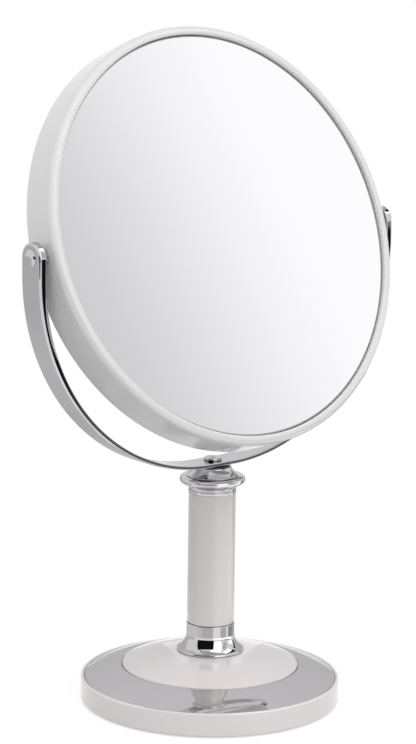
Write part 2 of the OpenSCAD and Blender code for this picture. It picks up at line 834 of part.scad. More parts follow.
foot_ring();
bottom_cover();
cover_screws();
base_weight();
base_shell();
base_chrome_ring();
base_inlay();
stem_bolt();
stem_bolt_washer();
lower_collar();
core_tube();
core_plug();
stem_sleeve();
guide_bush();
guide_cup();
inner_tube();
slide_ring();
tube_plug();
head_cone();
swivel_washer();
yoke_washer();
yoke_screw();
yoke();
pivot_pin(-1);  // pivot_pin_left
pivot_pin(1);  // pivot_pin_right
friction_washer(-1);  // friction_washer_left
friction_washer(1);  // friction_washer_right
pivot_spacer(-1);  // pivot_spacer_left
pivot_spacer(1);  // pivot_spacer_right
head_frame();
rear_bezel();
front_glass();
front_tape();
backing_board();
rear_glass();
rear_gasket();
pivot_bush(-1);  // pivot_bush_left
pivot_bush(1);  // pivot_bush_right
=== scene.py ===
# %% [markdown]
# # A two-sided shaving mirror on a telescopic column
#
# The mirror is a round glass in a white moulded frame. It tilts between the arms of a chromed
# yoke, and the yoke turns on a column that stands on a round, weighted base. The imported CAD
# model gives every size and every body; this lesson gives it surfaces that look made. We start
# by loading that model. The looks may not grow past it.

# %% Load the imported model
import json
import math

import bmesh
import bpy
import numpy as np
from mathutils import Matrix, Vector


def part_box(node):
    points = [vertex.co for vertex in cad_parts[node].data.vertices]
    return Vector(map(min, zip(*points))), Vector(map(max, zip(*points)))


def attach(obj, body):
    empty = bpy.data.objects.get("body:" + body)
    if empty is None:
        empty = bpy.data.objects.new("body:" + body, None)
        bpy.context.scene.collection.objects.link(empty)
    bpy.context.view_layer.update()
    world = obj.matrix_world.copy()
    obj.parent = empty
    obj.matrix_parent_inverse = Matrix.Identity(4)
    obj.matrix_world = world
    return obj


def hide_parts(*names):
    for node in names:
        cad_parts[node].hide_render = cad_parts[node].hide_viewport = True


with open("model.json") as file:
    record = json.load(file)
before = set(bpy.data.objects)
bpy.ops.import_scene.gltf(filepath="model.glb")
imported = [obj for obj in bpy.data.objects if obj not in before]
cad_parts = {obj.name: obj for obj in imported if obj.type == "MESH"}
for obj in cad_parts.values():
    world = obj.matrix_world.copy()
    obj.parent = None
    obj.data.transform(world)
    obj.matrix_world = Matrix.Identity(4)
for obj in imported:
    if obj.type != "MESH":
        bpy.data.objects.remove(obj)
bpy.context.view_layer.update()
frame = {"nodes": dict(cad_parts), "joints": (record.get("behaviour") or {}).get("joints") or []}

MM = 0.001
HAIR = 0.02      # how far a finer surface stays inside the CAD model's facets, in millimetres

# %% [markdown]
# ## Camera
#
# A long lens from a little above keeps the round glass and the base nearly parallel in the
# picture. The camera is placed by azimuth, elevation and distance from a point on the column,
# because those are the numbers one reads off a view; its axes are then worked out as vectors,
# with a slight roll about the line of sight.

# %% Place the camera
LENS_MM, DISTANCE_MM = 133.94, 1369.7
AZIMUTH, ELEVATION, ROLL = (math.radians(v) for v in (-39.908, 11.32, 0.792))
AIM_Z_MM, SIDE_STEP_MM = 168.11, -2.969

back = np.array([math.sin(AZIMUTH) * math.cos(ELEVATION),
                 -math.cos(AZIMUTH) * math.cos(ELEVATION), math.sin(ELEVATION)])
level = np.cross([0, 0, 1], back)
level /= np.linalg.norm(level)
upright = np.cross(back, level)
right = math.cos(ROLL) * level + math.sin(ROLL) * upright
up = -math.sin(ROLL) * level + math.cos(ROLL) * upright
eye = (np.array([0, 0, AIM_Z_MM]) + back * DISTANCE_MM + right * SIDE_STEP_MM) * MM

camera = bpy.data.objects.new("camera", bpy.data.cameras.new("camera"))
bpy.context.scene.collection.objects.link(camera)
bpy.context.scene.camera = camera
camera.data.lens = LENS_MM
camera.data.clip_start, camera.data.clip_end = 0.05, 20
pose = np.eye(4)
pose[:3, 0], pose[:3, 1], pose[:3, 2], pose[:3, 3] = right, up, back, eye
camera.matrix_world = Matrix(pose.tolist())
print("camera at", eye.round(3), "m")

# %% [markdown]
# ## Reading sizes off the CAD model
#
# A new surface has to sit exactly where its CAD node sits. Upright pieces need three numbers,
# which the node's box gives. The tilting head stands at an angle, so its pieces are measured
# along the normal of the glass: we take that normal from the glass itself, as the direction in
# which its points spread least.

# %% Sizes of the upright pieces and the axes of the head
def upright_size(node):
    """Radius, foot and top of a node that stands on the Z axis, in millimetres."""
    low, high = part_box(node)
    return high.x / MM, low.z / MM, high.z / MM


def points_of(node):
    """All mesh points of a CAD node as an array of rows, in millimetres."""
    mesh = frame["nodes"][node].data
    flat = np.zeros(len(mesh.vertices) * 3)
    mesh.vertices.foreach_get("co", flat)
    return flat.reshape(-1, 3) / MM


hinges = {joint["name"]: joint for joint in frame["joints"]}
PIVOT = np.array(hinges["mirror_tilt"]["pos_m"]) / MM

glass_points = points_of("front_glass")
spread = np.linalg.eigh(np.cov((glass_points - glass_points.mean(0)).T))
NORMAL = spread[1][:, 0] * (-1 if spread[1][1, 0] > 0 else 1)


def head_size(node):
    """Outer radius, rear face and front face of a node of the head, along the glass normal."""
    offset = points_of(node) - PIVOT
    along = offset @ NORMAL
    across = np.linalg.norm(offset - np.outer(along, NORMAL), axis=1)
    return across.max(), along.min(), along.max()


print("tilt axis at", PIVOT.round(2), "mm; the glass leans back",
      round(math.degrees(math.asin(NORMAL[2])), 2), "degrees")

# %% [markdown]
# ## Turned surfaces
#
# Nearly every piece of this mirror was turned, spun or moulded round an axis, so one surface
# does most of the work: a profile of radius and height, carried round a full turn. Real edges
# are never sharp, and polished metal shows it, so the profile's corners are first replaced by
# small arcs. A short straight run is kept beside each arc: it holds the shading of the flat
# faces flat right up to the edge.

# %% Rounded profiles
def unit(rows):
    """Each row divided by its own length."""
    return rows / np.maximum(np.linalg.norm(rows, axis=-1, keepdims=True), 1e-12)


def rounded(corners, steps=7, run=0.06):
    """Outline whose corner i is an arc of radius corners[i][2].

    The arc's centre lies on the bisector at radius / sin(half the corner's angle); its points
    are the spherical blend ((sin (1 - s) w) a + (sin s w) b) / sin w of the two radii a and b
    that meet the sides at right angles, w being the angle between them.
    """
    table = np.array([(*c, 0.0)[:3] for c in corners], float)
    here, radius = table[:, :2], table[:, 2:3]
    before, after = unit(np.roll(here, 1, 0) - here), unit(np.roll(here, -1, 0) - here)
    half = np.arccos(np.clip((before * after).sum(1, keepdims=True), -1, 1)) / 2
    reach = radius / np.tan(np.maximum(half, 1e-4))
    centre = here + unit(before + after) * radius / np.sin(np.maximum(half, 1e-4))
    start, end = here + before * reach, here + after * reach
    turn = np.maximum(np.pi - 2 * half, 1e-6)[:, :, None]
    s = np.linspace(0, 1, steps + 1)[None, :, None]
    arc = centre[:, None] + (np.sin((1 - s) * turn) * (start - centre)[:, None]
                             + np.sin(s * turn) * (end - centre)[:, None]) / np.sin(turn)
    room = np.where(radius > 0, run, 0.0)
    first = (start + before * room)[:, None]
    last = (end + after * room)[:, None]
    line = np.concatenate([first, arc, last], 1).reshape(-1, 2)
    kept = np.linalg.norm(line - np.roll(line, 1, 0), axis=1) > 1e-5
    return line[kept]


def bow(start, end, radius, steps=24):
    """Corner rows along an arc from start to end; a positive radius bulges to the left.

    The centre lies sqrt(radius^2 - (chord / 2)^2) off the chord's middle, and the points are
    the blend of two radii that rounded uses.
    """
    p, q = np.array(start, float), np.array(end, float)
    chord = q - p
    length = np.linalg.norm(chord)
    side = np.array([-chord[1], chord[0]]) / length
    rise = math.sqrt(radius ** 2 - length ** 2 / 4)
    centre = (p + q) / 2 - math.copysign(1, radius) * side * rise
    a, b = p - centre, q - centre
    turn = math.acos(np.clip(a @ b / radius ** 2, -1, 1))
    s = np.linspace(0, 1, steps + 1)[:, None]
    arc = centre + (np.sin((1 - s) * turn) * a + np.sin(s * turn) * b) / math.sin(turn)
    return [(x, y, 0) for x, y in arc]


# %% [markdown]
# ## From a grid of points to a mesh
#
# A surface is worked out as a grid of points, one row per profile point and one column per
# step round the axis. Turning the grid into faces is index arithmetic: every point is joined
# to its neighbours along both directions. Points that fall together, as at a pole, are merged,
# and the sign of the enclosed volume tells whether the faces point outwards.

# %% Grids into meshes
def skin(name, grid, closed_rows=True):
    """Mesh object from a grid of points in millimetres, shape (rows, columns, 3).

    The columns go all the way round; the rows may stop at two ends.
    """
    rows, columns = grid.shape[:2]
    i = np.arange(rows if closed_rows else rows - 1)[:, None]
    j = np.arange(columns)[None, :]
    i2, j2 = (i + 1) % rows, (j + 1) % columns
    faces = np.stack([i * columns + j, i2 * columns + j,
                      i2 * columns + j2, i * columns + j2], -1).reshape(-1, 4)
    mesh = bpy.data.meshes.new(name)
    mesh.from_pydata(grid.reshape(-1, 3) * MM, [], faces.tolist())
    work = bmesh.new()
    work.from_mesh(mesh)
    bmesh.ops.remove_doubles(work, verts=work.verts, dist=1e-7)
    if work.calc_volume(signed=True) < 0:
        bmesh.ops.reverse_faces(work, faces=work.faces)
    work.to_mesh(mesh)
    work.free()
    mesh.polygons.foreach_set("use_smooth", np.ones(len(mesh.polygons), bool))
    piece = bpy.data.objects.new(name, mesh)
    bpy.context.scene.collection.objects.link(piece)
    return piece


UPRIGHT = (np.zeros(3), np.eye(3))
across = np.array([1.0, 0, 0])
HEAD = (PIVOT, np.stack([across, np.cross(NORMAL, across), NORMAL], 1))


def turned(name, profile, place=UPRIGHT, steps=192, solid=False):
    """Surface of revolution: point(s, a) = origin + axes (r(s) cos a, r(s) sin a, h(s)).

    A profile that starts and ends on the axis is solid, and its two ends close as poles.
    """
    origin, axes = place
    a = np.linspace(0, 2 * np.pi, steps, endpoint=False)
    r, h = profile[:, 0:1], profile[:, 1:2]
    local = np.stack([r * np.cos(a), r * np.sin(a), h + 0 * a], -1)
    return skin(name, local @ axes.T + origin, closed_rows=not solid)


def stand_for(piece, node, body, finish):
    """Puts a new surface in a CAD node's place, on that node's body and in its finish."""
    piece.data.materials.append(finish)
    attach(piece, body)
    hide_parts(node)
    low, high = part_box(node)
    own = np.array([v.co for v in piece.data.vertices])
    proud = max((own.max(0) - np.array(high)).max(), (np.array(low) - own.min(0)).max()) / MM
    print(f"{piece.name}: {len(piece.data.polygons)} faces, stands {proud:+.3f} mm past {node}")
    return piece


# %% [markdown]
# ## Shared surface effects
#
# Each effect that several finishes use is a node group with named inputs and outputs, so that
# a finish only says how strong and how large it is. All of them read Object coordinates, which
# are metres here, so a scale of 500 gives spots about two millimetres wide.
# *Tone* shifts a colour slightly from place to place. *Handling* gives what fingers and cloths
# leave: soft smudges and hairlines. *Relief* is the fine height of a moulded, cast or turned
# face, stretched along an axis where the process leaves lines.

# %% Node group helper
def group_of(name, inputs, outputs):
    """An empty shader node group; returns it with the sockets that it reads and fills."""
    tree = bpy.data.node_groups.new(name, "ShaderNodeTree")
    for label, kind, value in inputs:
        socket = tree.interface.new_socket(label, in_out="INPUT", socket_type=kind)
        if value is not None:
            socket.default_value = value
    for label, kind in outputs:
        tree.interface.new_socket(label, in_out="OUTPUT", socket_type=kind)
    return (tree, tree.nodes.new("NodeGroupInput").outputs,
            tree.nodes.new("NodeGroupOutput").inputs)


def node(tree, kind, links=(), **settings):
    """A shader node with its settings; links pairs its inputs with what feeds them.

    That is a value, an output socket, or another node, which stands for its first output.
    """
    made = tree.nodes.new("ShaderNode" + kind)
    for key, value in settings.items():
        setattr(made, key, value)
    for place, value in dict(links).items():
        if isinstance(value, bpy.types.Node):
            value = value.outputs[0]
        if isinstance(value, bpy.types.NodeSocket):
            tree.links.new(value, made.inputs[place])
        else:
            made.inputs[place].default_value = value
    return made


FLOAT, COLOR, VECTOR = "NodeSocketFloat", "NodeSocketColor", "NodeSocketVector"


# %% The tone group: a colour that drifts a little from place to place
tone, tone_in, tone_out = group_of(
    "tone", [("Vector", VECTOR, None), ("Colour", COLOR, (0.8, 0.8, 0.8, 1)),
             ("Other colour", COLOR, (0.7, 0.7, 0.7, 1)), ("Scale", FLOAT, 30),
             ("Speckle", FLOAT, 0.1)], [("Colour", COLOR)])
drift = node(tone, "TexNoise", {"Vector": tone_in["Vector"], "Scale": tone_in["Scale"],
                                "Detail": 3})
fine = node(tone, "TexNoise", {"Vector": tone_in["Vector"], "Scale": 2600, "Detail": 1})
speck = node(tone, "Math", {0: fine, 1: tone_in["Speckle"]}, operation="MULTIPLY")
patch = node(tone, "MapRange", {"Value": drift, "From Min": 0.32, "From Max": 0.68})
share = node(tone, "Math", {0: patch, 1: speck}, operation="ADD", use_clamp=True)
mixed = node(tone, "MixRGB", {"Fac": share, "Color1": tone_in["Colour"],
                              "Color2": tone_in["Other colour"]})
tone.links.new(mixed.outputs["Color"], tone_out["Colour"])

# %% The handling group: smudges and hairlines
handling, hand_in, hand_out = group_of(
    "handling", [("Vector", VECTOR, None), ("Smudge scale", FLOAT, 40),
                 ("Hairline scale", FLOAT, 60)], [("Smudge", FLOAT), ("Hairline", FLOAT)])
blot = node(handling, "TexNoise", {"Vector": hand_in["Vector"], "Detail": 4,
                                   "Scale": hand_in["Smudge scale"], "Distortion": 0.6})
smudge = node(handling, "MapRange", {"Value": blot, "From Min": 0.5, "From Max": 0.75})
slant = node(handling, "Mapping", {"Vector": hand_in["Vector"],
                                   "Rotation": (0.5, 0.3, 0.7), "Scale": (1, 9, 3)})
web = node(handling, "TexNoise", {"Vector": slant, "Detail": 2,
                                  "Scale": hand_in["Hairline scale"]})
crest = node(handling, "Math", {0: web, 1: 0.5}, operation="SUBTRACT")
depth = node(handling, "Math", {0: crest}, operation="ABSOLUTE")
hairline = node(handling, "MapRange", {"Value": depth, "From Min": 0.0, "From Max": 0.006,
                                       "To Min": 1, "To Max": 0})
handling.links.new(smudge.outputs["Result"], hand_out["Smudge"])
handling.links.new(hairline.outputs["Result"], hand_out["Hairline"])

# %% The relief group: the fine height of a made surface
relief, rel_in, rel_out = group_of(
    "relief", [("Vector", VECTOR, None), ("Stretch", VECTOR, (1, 1, 1)), ("Scale", FLOAT, 400),
               ("Roughness", FLOAT, 0.5), ("Pits", FLOAT, 0)], [("Height", FLOAT)])
pulled = node(relief, "VectorMath", {0: rel_in["Vector"], 1: rel_in["Stretch"]},
              operation="MULTIPLY")
swell = node(relief, "TexNoise", {"Vector": pulled, "Detail": 4,
                                  "Scale": rel_in["Scale"], "Roughness": rel_in["Roughness"]})
cells = node(relief, "TexVoronoi", {"Vector": pulled, "Scale": rel_in["Scale"]})
hole = node(relief, "MapRange", {"Value": cells, "From Min": 0.0, "From Max": 0.45,
                                 "To Min": -1, "To Max": 0})
sunk = node(relief, "Math", {0: hole, 1: rel_in["Pits"], 2: swell}, operation="MULTIPLY_ADD")
relief.links.new(sunk.outputs["Value"], rel_out["Height"])
print("node groups:", [tree.name for tree in bpy.data.node_groups])

# %% [markdown]
# ## One finish, many settings
#
# Every finish of this mirror is a Principled shader with the same wiring: tone feeds the base
# colour, smudges and hairlines feed the roughness, and relief with the hairlines feeds a bump.
# What makes chrome chrome and rubber rubber is the numbers, so one function does the wiring
# and each material below is a short list of them. Values that are the same all over, such as
# metallic or the coat, are set on the shader's own sockets.

# %% Wiring of a finish
def finish(name, colours, tone_scale=30, speckle=0.1, rough=(0.2, 0.3), metallic=0.0, coat=0.0,
           coat_rough=0.03, smudge_scale=40, hairline_scale=60, hairline=0.2,
           stretch=(1, 1, 1), relief_scale=400, relief_rough=0.5, pits=0.0, depth_um=10,
           strength=0.3, edge_tint=1.0):
    """A material; colours are linear, rough is (clean, smudged), depth_um is the relief."""
    material = bpy.data.materials.new(name)
    material.use_nodes = True
    tree = material.node_tree
    shader = tree.nodes["Principled BSDF"]
    place = node(tree, "TexCoord").outputs["Object"]
    colour = node(tree, "Group", node_tree=tone)
    marks = node(tree, "Group", node_tree=handling)
    height = node(tree, "Group", node_tree=relief)
    for label, value in (("Colour", (*colours[0], 1)), ("Other colour", (*colours[1], 1)),
                         ("Scale", tone_scale), ("Speckle", speckle)):
        colour.inputs[label].default_value = value
    for label, value in (("Smudge scale", smudge_scale), ("Hairline scale", hairline_scale)):
        marks.inputs[label].default_value = value
    for label, value in (("Stretch", stretch), ("Scale", relief_scale),
                         ("Roughness", relief_rough), ("Pits", pits)):
        height.inputs[label].default_value = value
    for effect in (colour, marks, height):
        tree.links.new(place, effect.inputs["Vector"])
    line = node(tree, "Math", {0: marks.outputs["Hairline"], 1: hairline}, operation="MULTIPLY")
    worn = node(tree, "Math", {0: marks.outputs["Smudge"], 1: line},
                operation="ADD", use_clamp=True)
    sheen = node(tree, "MapRange", {"Value": worn, "To Min": rough[0], "To Max": rough[1]})
    cut = node(tree, "Math", {0: line, 1: -0.5, 2: height}, operation="MULTIPLY_ADD")
    bump = node(tree, "Bump", {"Height": cut, "Strength": strength,
                               "Distance": depth_um * 1e-6})
    tree.links.new(colour.outputs["Colour"], shader.inputs["Base Color"])
    tree.links.new(sheen.outputs["Result"], shader.inputs["Roughness"])
    tree.links.new(bump.outputs["Normal"], shader.inputs["Normal"])
    shader.inputs["Metallic"].default_value = metallic
    shader.inputs["Coat Weight"].default_value = coat
    shader.inputs["Coat Roughness"].default_value = coat_rough
    shader.inputs["Specular Tint"].default_value = (edge_tint,) * 3 + (1,)
    return material


# %% [markdown]
# ## White finishes
#
# The frame and the base are moulded in a slightly warm white plastic with a high gloss: the
# mould is polished, so the surface only swells very gently. The inlay is the same plastic in a
# pinker batch. The sleeve is a lacquered tube, with a clear coat over the white and the faint
# peel of a sprayed surface.

# %% White plastic and lacquer
SMOOTH = dict(hairline=0.15, relief_rough=0.3, strength=0.2)
MOULDED = dict(**SMOOTH, speckle=0.08, relief_scale=90)
GLOSSY = dict(**MOULDED, tone_scale=18, rough=(0.16, 0.22), coat=0.4, coat_rough=0.05,
              depth_um=6)
white_gloss = finish("white_gloss", ((0.80, 0.795, 0.795), (0.785, 0.78, 0.78)), **GLOSSY)
# The base's white is pinker than the frame's, which is the plastic's own tint, and brighter,
# which is painted light: it lifts the rim, which faces sideways and gets less light from the
# lamps.
white_base_brightened = finish("white_base_brightened", ((0.87, 0.825, 0.825), (0.855, 0.805, 0.81)), **GLOSSY)
white_inlay = finish("white_inlay", ((0.78, 0.733, 0.738), (0.765, 0.715, 0.723)),
                     tone_scale=22, rough=(0.12, 0.18), coat=0.8, depth_um=5, **MOULDED)
white_sleeve = finish("white_sleeve", ((0.745, 0.715, 0.693), (0.73, 0.701, 0.679)),
                      tone_scale=26, rough=(0.2, 0.26), coat=0.45, coat_rough=0.04,
                      relief_scale=120, depth_um=5, **SMOOTH)

# %% [markdown]
# ## Chrome and mirror
#
# Chrome plate is a bright metal with almost no colour of its own, a little violet against the
# white. It shows what surrounds it, softened only where it has been handled, and its polish
# follows the base metal, so it waves slightly. The mirror is silvered glass: flatter and
# cleaner than the plate, with a few wiped smudges. The sliding tube gets fine lines along its
# length from the bush that it runs in.

# %% Bright finishes
PLATE = dict(metallic=1.0, edge_tint=0.8)
POLISHED = dict(**PLATE, speckle=0.15, hairline=0.25, depth_um=3, strength=0.15)
chrome = finish("chrome", ((0.58, 0.57, 0.588), (0.56, 0.55, 0.568)), tone_scale=40,
                rough=(0.03, 0.07), smudge_scale=70, hairline_scale=90, relief_scale=110,
                **POLISHED)
# The ring's chrome is lighter than the rest of the chrome: painted light, which makes the grey it
# reflects come out lighter than in the yoke.
cone_chrome_brightened = finish("cone_chrome_brightened", ((0.70, 0.685, 0.70), (0.675, 0.66, 0.68)), tone_scale=30,
                     rough=(0.035, 0.08), smudge_scale=60, hairline_scale=70, relief_scale=60,
                     **POLISHED)
screw_satin = finish("screw_satin", ((0.60, 0.59, 0.605), (0.56, 0.55, 0.565)), tone_scale=60,
                     speckle=0.2, rough=(0.2, 0.28), hairline_scale=160, hairline=0.3,
                     stretch=(1, 1, 4), relief_scale=700, depth_um=4, strength=0.2, **PLATE)
slide_chrome = finish("slide_chrome", ((0.62, 0.61, 0.625), (0.58, 0.57, 0.59)),
                      tone_scale=50, speckle=0.2, rough=(0.05, 0.12), smudge_scale=90,
                      hairline=0.3, stretch=(1, 1, 0.04), relief_scale=900, depth_um=4,
                      strength=0.25, **PLATE)
mirror = finish("mirror_glass", ((0.915, 0.92, 0.93), (0.90, 0.905, 0.92)), tone_scale=9,
                speckle=0.1, rough=(0.004, 0.02), metallic=1.0, smudge_scale=14,
                hairline_scale=20, hairline=0.2, relief_scale=6, depth_um=2, strength=0.1)

# %% Dark margin where the silvering stops, with painted shade of the gap under the lip
# The dark ring is partly bare glass and partly painted shade: its width and grey stand for the
# shade in the gap between the glass and the lip, and for its reflection in the glass.
MARGIN, MARGIN_BLUR, BARE_GLASS_AND_GAP_SHADE = 0.9, 0.1, (0.42, 0.42, 0.425, 1)
glass_r, glass_back, glass_front = head_size("front_glass")
glass_middle = (PIVOT + NORMAL * glass_front) * MM
edged = mirror.copy()
edged.name = "mirror_glass_edged"
tree = edged.node_tree
shader = tree.nodes["Principled BSDF"]
place = tree.nodes["Texture Coordinate"].outputs["Object"]
from_middle = node(tree, "VectorMath", {0: place, 1: glass_middle}, operation="DISTANCE")
bare_and_gap_shade = node(tree, "MapRange", {"Value": from_middle.outputs["Value"],
                               "From Min": (glass_r - MARGIN) * MM,
                               "From Max": (glass_r - MARGIN + MARGIN_BLUR) * MM})
silver = shader.inputs["Base Color"].links[0].from_socket
edge_tone = node(tree, "MixRGB", {"Fac": bare_and_gap_shade, "Color1": silver, "Color2": BARE_GLASS_AND_GAP_SHADE})
tree.links.new(edge_tone.outputs["Color"], shader.inputs["Base Color"])
print("silvering ends at radius", round(glass_r - MARGIN, 1), "mm")

# %% [markdown]
# ## Finishes of the inner pieces
#
# The rest is seen from below, when the column is drawn out, or when the part is taken to
# pieces: zinc-plated steel, a cast weight with its sand skin, a rubber ring, foam, a hardboard
# disc, nylon, brass and the grained plastic of the bottom cover.

# %% Working finishes
steel = finish("steel", ((0.55, 0.55, 0.54), (0.45, 0.46, 0.47)), tone_scale=120, speckle=0.4,
               rough=(0.25, 0.4), metallic=1.0, hairline=0.5, stretch=(1, 1, 6),
               relief_scale=500, depth_um=12, strength=0.4)
cast_iron = finish("cast_iron", ((0.09, 0.09, 0.095), (0.05, 0.05, 0.055)), tone_scale=90,
                   speckle=0.5, rough=(0.55, 0.7), metallic=0.4, relief_scale=420,
                   relief_rough=0.7, pits=0.8, depth_um=160, strength=0.8)
foot_rubber = finish("foot_rubber", ((0.045, 0.045, 0.047), (0.03, 0.03, 0.032)),
                     tone_scale=60, speckle=0.4, rough=(0.6, 0.75), hairline=0.1,
                     relief_scale=1400, pits=0.2, depth_um=40, strength=0.6)
foam = finish("foam", ((0.05, 0.05, 0.052), (0.025, 0.025, 0.027)), tone_scale=200,
              speckle=0.5, rough=(0.85, 0.95), relief_scale=1600, pits=1.0, depth_um=200,
              strength=0.9)
cover_plastic = finish("cover_plastic", ((0.74, 0.735, 0.73), (0.70, 0.695, 0.69)),
                       tone_scale=40, speckle=0.3, rough=(0.42, 0.5), relief_scale=1500,
                       pits=0.35, depth_um=30, strength=0.5)
nylon = finish("nylon", ((0.035, 0.035, 0.037), (0.05, 0.05, 0.05)), tone_scale=150, speckle=0.2,
               rough=(0.35, 0.45), relief_scale=900, depth_um=12, strength=0.4)
board = finish("board", ((0.27, 0.18, 0.11), (0.17, 0.11, 0.065)), tone_scale=300, speckle=0.6,
               rough=(0.7, 0.85), stretch=(1, 3, 1), relief_scale=900, relief_rough=0.7,
               depth_um=60, strength=0.6)
brass = finish("brass", ((0.70, 0.52, 0.24), (0.58, 0.42, 0.19)), tone_scale=200, speckle=0.3,
               rough=(0.18, 0.3), metallic=1.0, stretch=(8, 1, 1), relief_scale=700,
               depth_um=10, strength=0.4)
print("finishes:", [material.name for material in bpy.data.materials])

# %% [markdown]
# ## The base
#
# Four shells make the base. A white moulded shell carries the rim and a hub for the column; a
# conical ring of chromed sheet lies on its shoulder; a domed white inlay covers the middle;
# and a rubber ring stands it on the table. Each is a turned surface. The rim's crest is a
# small full round, and the ring's edge sits just below it, which leaves the thin dark line
# that tells the two pieces apart.

# %% White shell and its rim
SKIN, RING_T, RING_DROP, GROOVE, HUB_R, BOLT_R = 2.2, 1.0, 0.3, 0.5, 12, 3.2
RING_GAP, INLAY_GAP = 0.1, 0.2
CORE_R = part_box("core_tube")[1].x / MM
core_seat = CORE_R + HAIR
rim_r, shell_foot, hub_top = upright_size("base_shell")
ring_r, ring_low, ring_top = upright_size("base_chrome_ring")
inlay_r, plate_z, seat_z = upright_size("base_inlay")
crest_z = ring_low + RING_T + RING_DROP
ring_in, under_z = inlay_r + GROOVE, plate_z - SKIN
shoulder_r, recess_r = ring_r + RING_GAP, inlay_r + INLAY_GAP

shell = turned("base_white_shell", rounded([
    (rim_r, shell_foot, 0.9), (rim_r, crest_z, 0.84), (shoulder_r, crest_z, 0.8),
    (shoulder_r, ring_low, 0.1), (ring_in, ring_top - RING_T, 0.1),
    (recess_r, ring_top - RING_T, 0.05), (recess_r, plate_z, 0.1),
    (HUB_R, plate_z, 0.5), (HUB_R, hub_top, 0.3), (core_seat, hub_top, 0.2),
    (core_seat, plate_z, 0.1), (BOLT_R, plate_z, 0.1), (BOLT_R, under_z, 0.2),
    (ring_in - SKIN, under_z, 1.0), (rim_r - SKIN, ring_low - SKIN, 0.8),
    (rim_r - SKIN, shell_foot, 0.3)]), steps=256)
stand_for(shell, "base_shell", "base", white_base_brightened)

# %% Conical chrome ring
RING_CROWN = 0.7
ring_w = math.hypot(ring_r - ring_in, ring_top - ring_low - RING_T)
crown_r = (ring_w ** 2 / 4 + RING_CROWN ** 2) / (2 * RING_CROWN)
ring = turned("base_cone_ring", rounded(
    [(ring_in, ring_top - RING_T, 0.15), (ring_r, ring_low, 0.15),
     (ring_r, ring_low + RING_T, 0.3)]
    + bow((ring_r, ring_low + RING_T), (ring_in, ring_top), -crown_r)[1:-1]
    + [(ring_in, ring_top, 0.35)]), steps=256)
stand_for(ring, "base_chrome_ring", "base", cone_chrome_brightened)

# %% Domed inlay
DOME_DROP, SEAT_R, DOME_T, BORE_GAP = 6.7, 17.35, 2.4, 0.2
edge_z, bore = seat_z - DOME_DROP, CORE_R + BORE_GAP
dome_z = (inlay_r ** 2 + edge_z ** 2 - SEAT_R ** 2 - seat_z ** 2) / 2 / (edge_z - seat_z)
dome_r = math.hypot(inlay_r, edge_z - dome_z)


def on_dome(r, inset):
    """Height of the dome, moved inwards by inset, at radius r: centre + sqrt(R^2 - r^2)."""
    return dome_z + math.sqrt((dome_r - inset) ** 2 - r ** 2)


inlay = turned("base_domed_inlay", rounded(
    [(bore, seat_z, 0.1)] + bow((SEAT_R, seat_z), (inlay_r, edge_z), dome_r)[:-1]
    + [(inlay_r, edge_z, 0.7), (inlay_r, plate_z, 0.2), (inlay_r - DOME_T, plate_z, 0.2)]
    + bow((inlay_r - DOME_T, on_dome(inlay_r - DOME_T, DOME_T)),
          (bore, on_dome(bore, DOME_T)), -(dome_r - DOME_T))), steps=256)
stand_for(inlay, "base_inlay", "base", white_inlay)

# %% Rubber ring
FOOT_W = 10
foot_r, foot_low, foot_top = upright_size("foot_ring")
foot_in = foot_r - FOOT_W
foot = turned("base_rubber_ring", rounded([
    (foot_r, foot_low, 0.3), (foot_r, foot_top, 0.1), (foot_in, foot_top, 0.1),
    (foot_in, foot_low, 0.3)]), steps=192)
stand_for(foot, "foot_ring", "base", foot_rubber)

# %% [markdown]
# ## The column
#
# From the base upwards: a flared chrome collar with a bead at its foot, the white sleeve, and
# a spool-shaped chrome cap. The cap is cut in two at its bead. The lower half, the guide cup,
# stays on the sleeve; the upper half, the head cone, goes up with the polished tube when the
# mirror is raised, so the tube is finished with as much care as what shows at rest. The
# hollow flares are arcs, because that is what a form tool leaves.

# %% Flared collar
BEAD_H, STRAIGHT_H, SPIGOT_IN, COLLAR_SKIRT, SLEEVE_GAP = 1.6, 5.4, 1.8, 0.25, 0.2
BEAD_BEND = BEAD_H / 2 * 1.001      # bow would divide by zero at an exact half circle
sleeve_r, sleeve_low, sleeve_top = upright_size("stem_sleeve")
collar_foot, collar_low, collar_end = upright_size("lower_collar")
collar_r, spigot_r = sleeve_r + COLLAR_SKIRT, sleeve_r - SPIGOT_IN
collar_top = sleeve_low - SLEEVE_GAP
bead_in, flare_z = collar_foot - BEAD_H / 2, collar_low + BEAD_H
flare_w, flare_h = bead_in - collar_r, collar_top - STRAIGHT_H - flare_z
collar = turned("column_collar", rounded(
    [(core_seat, collar_low, 0.1)]
    + bow((bead_in, collar_low), (bead_in, flare_z), -BEAD_BEND)
    + bow((bead_in, flare_z), (collar_r, collar_top - STRAIGHT_H),
          (flare_w ** 2 + flare_h ** 2) / (2 * flare_w))
    + [(collar_r, collar_top, 0.3), (spigot_r, collar_top, 0.1), (spigot_r, collar_end, 0.3),
       (core_seat, collar_end, 0.2)]), steps=256)
stand_for(collar, "lower_collar", "base", chrome)

# %% White sleeve
SLEEVE_T = 1.6
sleeve_in = sleeve_r - SLEEVE_T
sleeve = turned("column_sleeve", rounded([
    (sleeve_r, sleeve_low, 0.35), (sleeve_r, sleeve_top, 0.35),
    (sleeve_in, sleeve_top, 0.2), (sleeve_in, sleeve_low, 0.2)]), steps=192)
stand_for(sleeve, "stem_sleeve", "base", white_sleeve)

